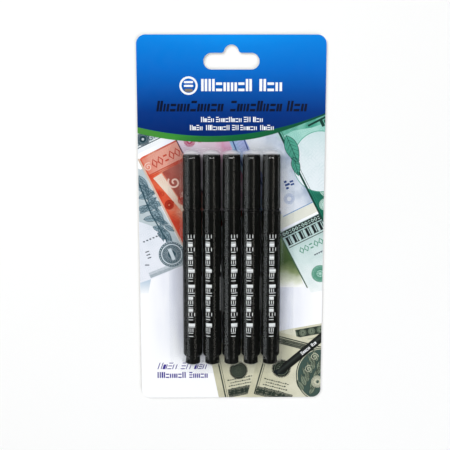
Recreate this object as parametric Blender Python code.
"""Carded five-pack of counterfeit detector pens, in metres, lying on its back.

+X runs across the card, +Y up the card towards the hang slot, +Z out of the printed face.
The origin is the centre of the card's back face. Every pen lies along +Y, foot first.
"""

from math import asin, cos, pi, radians, sin, sqrt, tan

import bmesh
import bpy

# Clearance between pieces that touch or press together on the real pack.
GAP = 0.0003

# Backing card.
CARD_WIDTH = 0.122
CARD_HEIGHT = 0.242
CARD_THICKNESS = 0.0006
CARD_CORNER_RADIUS = 0.006

# Hang slot: a stadium with a round crown on its upper edge.
SLOT_LENGTH = 0.0357
SLOT_HEIGHT = 0.0102
SLOT_BELOW_CARD_TOP = 0.0168
CROWN_RADIUS = 0.0046
CROWN_RISE = 0.0006
CROWN_FILLET = 0.0022

# Pen pack.
PEN_COUNT = 5
PEN_PITCH = 0.01285
PEN_LENGTH = 0.139
PEN_FOOT_ABOVE_CARD_BOTTOM = 0.0273
ROUND_SIDES = 20

# Pen radii. Stations along a pen are measured from its foot.
BARREL_RADIUS = 0.00625
BARREL_BORE = 0.0052
CAP_MOUTH_RADIUS = 0.0060
CAP_TOP_RADIUS = 0.00575
CAP_BORE = 0.00525
SEAT_RADIUS = 0.00483
PLUG_RADIUS = 0.0048
NIB_RADIUS = 0.0018

BARREL_REAR = 0.0052
BARREL_FRONT = 0.1024
BARREL_CHAMFER = 0.0007
RIM_BEVEL = 0.0003
PLUG_SKIRT_BORE = 0.0038
PLUG_FLOOR = 0.0012
FLANGE_THICKNESS = 0.0008
FLANGE_RADIUS = 0.0057
SECTION_REAR = 0.0890
SECTION_BORE = 0.0039
SECTION_BORE_DEPTH = 0.0960
SEAT_FRONT = 0.1090
CONE_RADIUS = 0.0034
CONE_TIP_RADIUS = 0.0029
SECTION_TIP = 0.1220
NIB_REAR = 0.0830
NIB_TIP = 0.1275
NIB_TAPER = 0.0015
RESERVOIR_REAR = 0.0145
RESERVOIR_FRONT = 0.0885
RESERVOIR_RADIUS = 0.0042
WRAP_INNER = 0.00456
WRAP_OUTER = 0.00480
CAP_TOP_THICKNESS = 0.0014
CAP_BEVEL = 0.0006
LINER_MOUTH = 0.1120
LINER_RADIUS = 0.0046
LINER_WALL = 0.0008

# Blister tub.
FILM_THICKNESS = 0.0004
TUB_FLANGE = 0.008
TUB_CORNER_RADIUS = 0.005
TUB_DRAFT = radians(4)
TUB_EDGE_FILLET = 0.0025
TUB_SIDE_CLEARANCE = 0.0016
TUB_TOP_CLEARANCE = 0.0027
TUB_FOOT_CLEARANCE = 0.0020
TUB_CREST_CLEARANCE = 0.00065
TUB_SCALLOP_DEPTH = 0.0013
TUB_END_RAMP = 0.006
SCALLOP_STEPS = 4

PEN_FOOT_Y = -CARD_HEIGHT / 2 + PEN_FOOT_ABOVE_CARD_BOTTOM
PEN_AXIS_Z = CARD_THICKNESS + GAP + BARREL_RADIUS
CAP_MOUTH = BARREL_FRONT + GAP + FLANGE_THICKNESS + GAP
FACET = cos(pi / ROUND_SIDES)

BLACK = (0.012, 0.012, 0.013)


def clear_scene():
    for existing in list(bpy.data.objects):
        bpy.data.objects.remove(existing, do_unlink=True)


def plastic(name, colour, roughness, alpha=1.0):
    """A plain Principled material, with no metal in it."""
    made = bpy.data.materials.new(name)
    made.use_nodes = True
    shader = made.node_tree.nodes["Principled BSDF"]
    shader.inputs["Base Color"].default_value = (*colour, 1.0)
    shader.inputs["Roughness"].default_value = roughness
    shader.inputs["Metallic"].default_value = 0.0
    shader.inputs["Alpha"].default_value = alpha
    return made


def add_object(name, mesh, material, parent=None, smooth_angle=radians(30)):
    mesh.shade_smooth()
    mesh.set_sharp_from_angle(angle=smooth_angle)
    mesh.materials.append(material)
    made = bpy.data.objects.new(name, mesh)
    made.parent = parent
    bpy.context.scene.collection.objects.link(made)
    return made


def arc(centre_x, centre_y, radius, start, end, steps):
    """Points on a circle from one angle to another, in degrees, both ends included."""
    angles = [radians(start + (end - start) * step / steps) for step in range(steps + 1)]
    return [(centre_x + radius * cos(a), centre_y + radius * sin(a)) for a in angles]


def prism_mesh(name, outline, low, high):
    """A closed solid between two heights, from an anticlockwise outline in X and Y."""
    shape = bmesh.new()
    floor = shape.faces.new([shape.verts.new((x, y, low)) for x, y in outline])
    raised = bmesh.ops.extrude_face_region(shape, geom=[floor])["geom"]
    corners = [item for item in raised if isinstance(item, bmesh.types.BMVert)]
    bmesh.ops.translate(shape, verts=corners, vec=(0, 0, high - low))
    bmesh.ops.recalc_face_normals(shape, faces=shape.faces)
    mesh = bpy.data.meshes.new(name)
    shape.to_mesh(mesh)
    shape.free()
    return mesh


def turned_mesh(name, profile):
    """A solid turned round the pen's axis from (radius, station) points.

    A profile that leaves and meets the axis makes a solid; any other is closed and makes a tube.
    """
    shape = bmesh.new()
    points = [shape.verts.new((radius, station, 0)) for radius, station in profile]
    edges = [shape.edges.new(pair) for pair in zip(points, points[1:])]
    if profile[0][0] > 0:
        edges.append(shape.edges.new((points[-1], points[0])))
    bmesh.ops.spin(
        shape,
        geom=points + edges,
        cent=(0, 0, 0),
        axis=(0, 1, 0),
        angle=2 * pi,
        steps=ROUND_SIDES,
    )
    bmesh.ops.remove_doubles(shape, verts=shape.verts, dist=1e-6)
    bmesh.ops.recalc_face_normals(shape, faces=shape.faces)
    mesh = bpy.data.meshes.new(name)
    shape.to_mesh(mesh)
    shape.free()
    return mesh


def card_outline():
    across = CARD_WIDTH / 2 - CARD_CORNER_RADIUS
    along = CARD_HEIGHT / 2 - CARD_CORNER_RADIUS
    corners = ((across, along, 0), (-across, along, 90), (-across, -along, 180), (across, -along, 270))
    outline = []
    for x, y, start in corners:
        outline += arc(x, y, CARD_CORNER_RADIUS, start, start + 90, 6)
    return outline


def slot_outline():
    """The hang slot's edge, anticlockwise from its lower left, centred on the stadium."""
    half = SLOT_HEIGHT / 2
    end_x = SLOT_LENGTH / 2 - half
    crown_y = half + CROWN_RISE
    reach = CROWN_RADIUS + CROWN_FILLET
    drop = CROWN_FILLET - CROWN_RISE
    fillet_x = sqrt(reach**2 - drop**2)
    fillet_y = half + CROWN_FILLET
    meet = asin(drop / reach) * 180 / pi
    right = arc(end_x, 0, half, -90, 90, 10)
    right += arc(fillet_x, fillet_y, CROWN_FILLET, 270, 180 + meet, 4)
    crown = arc(0, crown_y, CROWN_RADIUS, meet, 180 - meet, 12)[1:-1]
    left = [(-x, y) for x, y in reversed(right)]
    return right + crown + left


def backing_card(material):
    card = add_object(
        "backing_card", prism_mesh("backing_card", card_outline(), 0, CARD_THICKNESS), material
    )
    cutter = bpy.data.objects.new(
        "hang_slot_cutter",
        prism_mesh("hang_slot_cutter", slot_outline(), -CARD_THICKNESS, 2 * CARD_THICKNESS),
    )
    cutter.location = (0, CARD_HEIGHT / 2 - SLOT_BELOW_CARD_TOP, 0)
    cutter.hide_render = True
    cutter.display_type = "WIRE"
    bpy.context.scene.collection.objects.link(cutter)
    cut = card.modifiers.new("hang_slot", "BOOLEAN")
    cut.operation = "DIFFERENCE"
    cut.object = cutter


def barrel_profile():
    return [
        (BARREL_BORE, BARREL_REAR),
        (BARREL_RADIUS - BARREL_CHAMFER, BARREL_REAR),
        (BARREL_RADIUS - 0.3 * BARREL_CHAMFER, BARREL_REAR + BARREL_CHAMFER),
        (BARREL_RADIUS, BARREL_REAR + 2 * BARREL_CHAMFER),
        (BARREL_RADIUS, BARREL_FRONT - RIM_BEVEL),
        (BARREL_RADIUS - RIM_BEVEL, BARREL_FRONT),
        (BARREL_BORE, BARREL_FRONT),
    ]


def end_plug_profile():
    """A cup whose closed end shows below the barrel and whose skirt presses into it."""
    skirt_end = RESERVOIR_REAR - GAP
    return [
        (0, 0),
        (PLUG_RADIUS - CAP_BEVEL, 0),
        (PLUG_RADIUS, CAP_BEVEL),
        (PLUG_RADIUS, skirt_end),
        (PLUG_SKIRT_BORE, skirt_end),
        (PLUG_SKIRT_BORE, PLUG_FLOOR),
        (0, PLUG_FLOOR),
    ]


def front_section_profile():
    """The nib holder: a collar in the barrel, a stop flange, the cap's seat and a nose cone."""
    flange_rear = BARREL_FRONT + GAP
    flange_front = flange_rear + FLANGE_THICKNESS
    shoulder = SEAT_RADIUS - CONE_RADIUS
    nib_bore = (NIB_RADIUS + GAP) / FACET
    return [
        (SECTION_BORE, SECTION_REAR),
        (SEAT_RADIUS, SECTION_REAR),
        (SEAT_RADIUS, flange_rear),
        (FLANGE_RADIUS, flange_rear),
        (FLANGE_RADIUS, flange_front),
        (SEAT_RADIUS, flange_front),
        (SEAT_RADIUS, SEAT_FRONT),
        (CONE_RADIUS, SEAT_FRONT + shoulder),
        (CONE_TIP_RADIUS, SECTION_TIP),
        (nib_bore, SECTION_TIP),
        (nib_bore, SECTION_BORE_DEPTH),
        (SECTION_BORE, SECTION_BORE_DEPTH - shoulder),
    ]


def nib_profile():
    """A fibre rod with a bullet tip and a tapered tail that feeds from the reservoir."""
    bullet = NIB_TIP - 2.4 * NIB_RADIUS
    return [
        (0, NIB_REAR),
        (0.5 * NIB_RADIUS, NIB_REAR),
        (NIB_RADIUS, NIB_REAR + NIB_TAPER),
        (NIB_RADIUS, bullet),
        (0.8 * NIB_RADIUS, 0.5 * (bullet + NIB_TIP)),
        (0.36 * NIB_RADIUS, NIB_TIP - 0.25 * NIB_RADIUS),
        (0, NIB_TIP),
    ]


def ink_reservoir_profile():
    """The fibre core, with the socket that the nib's tail has pressed into it."""
    socket_radius = (NIB_RADIUS + GAP) / FACET
    socket_end = NIB_REAR - GAP
    return [
        (0, RESERVOIR_REAR),
        (RESERVOIR_RADIUS, RESERVOIR_REAR),
        (RESERVOIR_RADIUS, RESERVOIR_FRONT),
        (socket_radius, RESERVOIR_FRONT),
        (socket_radius, socket_end),
        (0, socket_end),
    ]


def reservoir_film_profile():
    """The film that wraps the fibre core, a little shorter than the core at both ends."""
    rear = RESERVOIR_REAR + 3 * GAP
    front = RESERVOIR_FRONT - 3 * GAP
    return [(WRAP_INNER, rear), (WRAP_OUTER, rear), (WRAP_OUTER, front), (WRAP_INNER, front)]


def cap_profile():
    ceiling = PEN_LENGTH - CAP_TOP_THICKNESS
    top_bore = CAP_BORE - (CAP_MOUTH_RADIUS - CAP_TOP_RADIUS)
    return [
        (0, ceiling),
        (top_bore, ceiling),
        (CAP_BORE, CAP_MOUTH),
        (CAP_MOUTH_RADIUS - RIM_BEVEL, CAP_MOUTH),
        (CAP_MOUTH_RADIUS, CAP_MOUTH + RIM_BEVEL),
        (CAP_TOP_RADIUS, PEN_LENGTH - CAP_BEVEL),
        (CAP_TOP_RADIUS - CAP_BEVEL, PEN_LENGTH),
        (0, PEN_LENGTH),
    ]


def cap_liner_profile():
    """The soft inner cup that closes round the nose cone and keeps the ink from drying."""
    crown = PEN_LENGTH - CAP_TOP_THICKNESS - GAP
    inner = LINER_RADIUS - LINER_WALL
    return [
        (0, crown - LINER_WALL),
        (inner, crown - LINER_WALL),
        (inner, LINER_MOUTH),
        (LINER_RADIUS, LINER_MOUTH),
        (LINER_RADIUS, crown),
        (0, crown),
    ]


def pen_x(index):
    """The X place of a pen's axis, pens counted from 0 at the left."""
    return (index - (PEN_COUNT - 1) / 2) * PEN_PITCH


def add_pens(black, felt, amber, film, natural):
    """Every pen is an empty on the pen's axis, which its pieces and its cap's empty hang from."""
    fixed = {
        "barrel": (barrel_profile(), black),
        "end_plug": (end_plug_profile(), black),
        "front_section": (front_section_profile(), black),
        "nib": (nib_profile(), amber),
        "ink_reservoir": (ink_reservoir_profile(), felt),
        "reservoir_film": (reservoir_film_profile(), film),
    }
    capping = {"cap": (cap_profile(), black), "cap_liner": (cap_liner_profile(), natural)}
    for index in range(PEN_COUNT):
        label = f"pen_{index + 1}"
        axis = bpy.data.objects.new(f"{label}_axis", None)
        axis.location = (pen_x(index), PEN_FOOT_Y, PEN_AXIS_Z)
        cap_axis = bpy.data.objects.new(f"{label}_cap_axis", None)
        cap_axis.parent = axis
        for empty in (axis, cap_axis):
            bpy.context.scene.collection.objects.link(empty)
        for pieces, parent in ((fixed, axis), (capping, cap_axis)):
            for piece, (profile, material) in pieces.items():
                name = f"{label}_{piece}"
                add_object(name, turned_mesh(name, profile), material, parent)


def tub_size():
    """The tub's inner half width at the flange, and its lowest and highest Y there."""
    half_width = (PEN_COUNT - 1) / 2 * PEN_PITCH + BARREL_RADIUS + TUB_SIDE_CLEARANCE
    low = PEN_FOOT_Y - TUB_FOOT_CLEARANCE
    high = PEN_FOOT_Y + PEN_LENGTH + TUB_TOP_CLEARANCE
    return half_width, low, high


def front_height(x, y):
    """The inner face of the tub's front: one shallow crown over each pen, ramped at both ends."""
    crest = PEN_AXIS_Z + BARREL_RADIUS + TUB_CREST_CLEARANCE
    _, low, high = tub_size()
    ramp = min(1.0, (y - low) / TUB_END_RAMP, (high - y) / TUB_END_RAMP)
    crown = cos(pi * x / PEN_PITCH) ** 2
    return crest - TUB_SCALLOP_DEPTH * (1 - crown * ramp)


def tub_rings():
    """(how far in from the tub's inner outline, height) from the flange's rim to the front's edge."""
    flange_z = CARD_THICKNESS + GAP
    valley = PEN_AXIS_Z + BARREL_RADIUS + TUB_CREST_CLEARANCE - TUB_SCALLOP_DEPTH
    wall_top = valley - TUB_EDGE_FILLET
    drawn_in = (wall_top - flange_z) * tan(TUB_DRAFT)
    rings = [(-TUB_FLANGE, flange_z), (0, flange_z), (drawn_in, wall_top)]
    for angle in (45, 90):
        turn = radians(angle)
        inset = drawn_in + TUB_EDGE_FILLET * (1 - cos(turn))
        rings.append((inset, wall_top + TUB_EDGE_FILLET * sin(turn)))
    return rings


def corner_inset(angle):
    """How far a point of the tub's corner arc, at this angle, lies in from the tub's side."""
    return TUB_CORNER_RADIUS * (1 - cos(radians(angle)))


def grid_lines():
    """The front's grid: even steps across the pens, with closer lines round the corners."""
    half_width, low, high = tub_size()
    steps = PEN_COUNT * SCALLOP_STEPS
    inner = [PEN_PITCH * (step / SCALLOP_STEPS - PEN_COUNT / 2) for step in range(1, steps)]
    sides = [half_width - corner_inset(angle) for angle in (67.5, 45)]
    across = [-sides[1], -sides[0], *inner, *sides]
    rise = [corner_inset(45), corner_inset(67.5), TUB_END_RAMP, TUB_CORNER_RADIUS + TUB_FLANGE]
    along = [low + step for step in rise] + [high - step for step in reversed(rise)]
    return across, along


def arc_height(run, radius):
    """The height of a circle's arc at a run along it, and its full radius before the arc starts."""
    return sqrt(radius**2 - max(run, 0.0) ** 2)


def on_rounded_outline(x, y, inset):
    """Moves a point of the grid's edge onto the tub's rounded outline, drawn in by inset."""
    half_width, low, high = tub_size()
    middle = (low + high) / 2
    radius = TUB_CORNER_RADIUS - inset
    cut_off = 1 - cos(pi / 4)
    half_x = half_width - inset
    half_y = (high - low) / 2 - inset
    share_x = x / (half_width - TUB_CORNER_RADIUS * cut_off)
    share_y = (y - middle) / ((high - low) / 2 - TUB_CORNER_RADIUS * cut_off)
    px = share_x * (half_x - radius * cut_off)
    py = share_y * (half_y - radius * cut_off)
    if abs(share_y) > 1 - 1e-6:
        py = share_y * (half_y - radius + arc_height(abs(px) - half_x + radius, radius))
    else:
        px = share_x * (half_x - radius + arc_height(abs(py) - half_y + radius, radius))
    return px, middle + py


def edge_places(across, along):
    """Grid indices round the front's edge, anticlockwise seen from the front."""
    last_x, last_y = len(across) - 1, len(along) - 1
    places = [(i, 0) for i in range(last_x)]
    places += [(last_x, j) for j in range(last_y)]
    places += [(i, last_y) for i in range(last_x, 0, -1)]
    places += [(0, j) for j in range(last_y, 0, -1)]
    return places


def blister_tub(material):
    """The tub's inner face as one sheet, then given the film's thickness outwards."""
    across, along = grid_lines()
    edge = edge_places(across, along)
    shape = bmesh.new()
    rings = []
    for inset, height in tub_rings():
        outline = [on_rounded_outline(across[i], along[j], inset) for i, j in edge]
        rings.append([shape.verts.new((x, y, height)) for x, y in outline])
    for outer, inner in zip(rings, rings[1:]):
        for k in range(len(edge)):
            following = (k + 1) % len(edge)
            shape.faces.new((outer[k], outer[following], inner[following], inner[k]))
    grid = dict(zip(edge, rings[-1]))
    for i in range(1, len(across) - 1):
        for j in range(1, len(along) - 1):
            x, y = across[i], along[j]
            grid[i, j] = shape.verts.new((x, y, front_height(x, y)))
    for i in range(len(across) - 1):
        for j in range(len(along) - 1):
            shape.faces.new((grid[i, j], grid[i + 1, j], grid[i + 1, j + 1], grid[i, j + 1]))
    mesh = bpy.data.meshes.new("blister_tub")
    shape.to_mesh(mesh)
    shape.free()
    tub = add_object("blister_tub", mesh, material)
    film = tub.modifiers.new("film", "SOLIDIFY")
    film.thickness = FILM_THICKNESS
    film.offset = 1.0
    film.use_even_offset = True


def build():
    clear_scene()
    backing_card(plastic("printed_card", (0.02, 0.12, 0.45), 0.35))
    add_pens(
        black=plastic("black_pen_plastic", BLACK, 0.28),
        felt=plastic("reservoir_fibre", (0.70, 0.55, 0.25), 0.9),
        amber=plastic("amber_nib_fibre", (0.55, 0.30, 0.06), 0.85),
        film=plastic("reservoir_film", (0.85, 0.87, 0.88), 0.3),
        natural=plastic("natural_liner", (0.80, 0.80, 0.76), 0.45),
    )
    blister_tub(plastic("clear_blister", (0.92, 0.95, 0.97), 0.08, alpha=0.18))


build()
